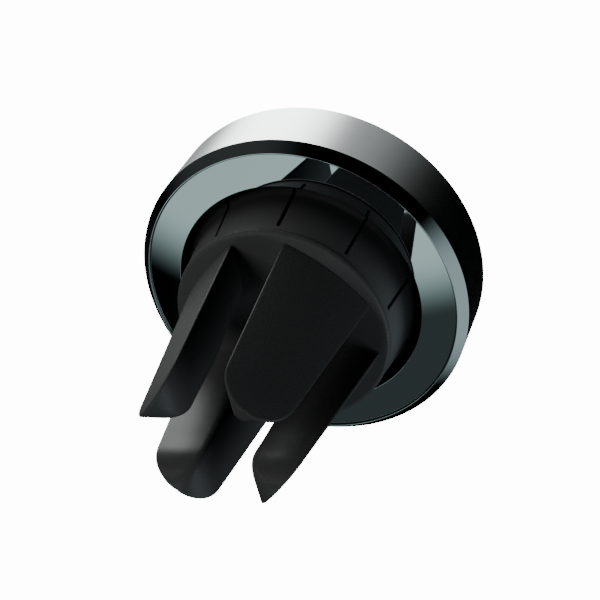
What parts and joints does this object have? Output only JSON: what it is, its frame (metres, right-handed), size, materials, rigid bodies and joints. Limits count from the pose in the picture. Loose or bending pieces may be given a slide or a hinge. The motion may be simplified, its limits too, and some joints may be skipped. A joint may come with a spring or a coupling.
{
  "type": "car phone mount",
  "caption": "Round magnetic phone holder on a ball joint, with a four-jaw clip that grips the vane of a car's air vent.",
  "frame": {"origin": "centre of the phone pad's face, the lowest face of the mount as it lies on its pad", "axes": "+Z along the mount's axis, from the phone pad towards the vent clip; X and Y along the clip's two crossing slots"},
  "size_m": [0.04, 0.04, 0.0368],
  "materials": {
    "satin_aluminium": "fine-turned satin anodised side, polished bevel",
    "black_mirror": "flat black-chrome mirror",
    "black_housing": "moulded, fine texture",
    "black_moulding": "satin moulded, light sheen",
    "jaw_rubber": "soft-touch, fine grain on the outer faces",
    "pad_rubber": "matt, with shallow round grooves",
    "adhesive_film": "clear-grey double-sided film",
    "polished_steel": "polished",
    "zinc_steel": "zinc plated",
    "nickel_magnet": "nickel plated",
    "white_nylon": "natural nylon"
  },
  "bodies": {
    "head": {"outer_ring": "satin_aluminium", "rear_cover": "black_mirror", "rear_dish": "black_housing", "friction_dome": "black_housing", "ball_stud": "polished_steel", "stud_washer": "zinc_steel", "stud_nut": "zinc_steel", "yoke_plate": "zinc_steel", "magnet_tray": "black_housing", "front_plate": "black_housing", "pad_film": "adhesive_film", "front_pad": "pad_rubber", "housing_screws": "zinc_steel", "magnet_1": "nickel_magnet", "magnet_2": "nickel_magnet", "magnet_3": "nickel_magnet", "magnet_4": "nickel_magnet", "magnet_5": "nickel_magnet", "magnet_6": "nickel_magnet"},
    "tilt_shell_x": {"shell_inner": "white_nylon"},
    "tilt_shell_y": {"shell_outer": "white_nylon"},
    "clip": {"clip_base": "black_moulding", "collar": "black_moulding", "socket_liner": "white_nylon", "retaining_ring": "zinc_steel", "jaw_pin_1": "zinc_steel", "jaw_pin_2": "zinc_steel", "jaw_pin_3": "zinc_steel", "jaw_pin_4": "zinc_steel"},
    "jaw_1": {"jaw_sleeve_1": "jaw_rubber", "jaw_core_1": "black_housing"},
    "jaw_2": {"jaw_sleeve_2": "jaw_rubber", "jaw_core_2": "black_housing"},
    "jaw_3": {"jaw_sleeve_3": "jaw_rubber", "jaw_core_3": "black_housing"},
    "jaw_4": {"jaw_sleeve_4": "jaw_rubber", "jaw_core_4": "black_housing"}
  },
  "joints": [
    {"name": "clip_tilt_x", "type": "hinge", "parent": "head", "child": "tilt_shell_x", "pos_m": [0, 0, 0.0105], "axis": [1, 0, 0], "range_deg": [-8, 8]},
    {"name": "clip_tilt_y", "type": "hinge", "parent": "tilt_shell_x", "child": "tilt_shell_y", "pos_m": [0, 0, 0.0105], "axis": [0, 1, 0], "range_deg": [-8, 8]},
    {"name": "clip_spin", "type": "hinge", "parent": "tilt_shell_y", "child": "clip", "pos_m": [0, 0, 0.0105], "axis": [0, 0, 1], "continuous": true},
    {"name": "jaw_1_flex", "type": "hinge", "parent": "clip", "child": "jaw_1", "pos_m": [0.00636, 0.00636, 0.01515], "axis": [-0.7071, 0.7071, 0], "range_deg": [0, 5], "stiffness_Nm_per_rad": 0.8},
    {"name": "jaw_2_flex", "type": "hinge", "parent": "clip", "child": "jaw_2", "pos_m": [-0.00636, 0.00636, 0.01515], "axis": [-0.7071, -0.7071, 0], "range_deg": [0, 5], "stiffness_Nm_per_rad": 0.8},
    {"name": "jaw_3_flex", "type": "hinge", "parent": "clip", "child": "jaw_3", "pos_m": [-0.00636, -0.00636, 0.01515], "axis": [0.7071, -0.7071, 0], "range_deg": [0, 5], "stiffness_Nm_per_rad": 0.8},
    {"name": "jaw_4_flex", "type": "hinge", "parent": "clip", "child": "jaw_4", "pos_m": [0.00636, -0.00636, 0.01515], "axis": [0.7071, 0.7071, 0], "range_deg": [0, 5], "stiffness_Nm_per_rad": 0.8}
  ]
}
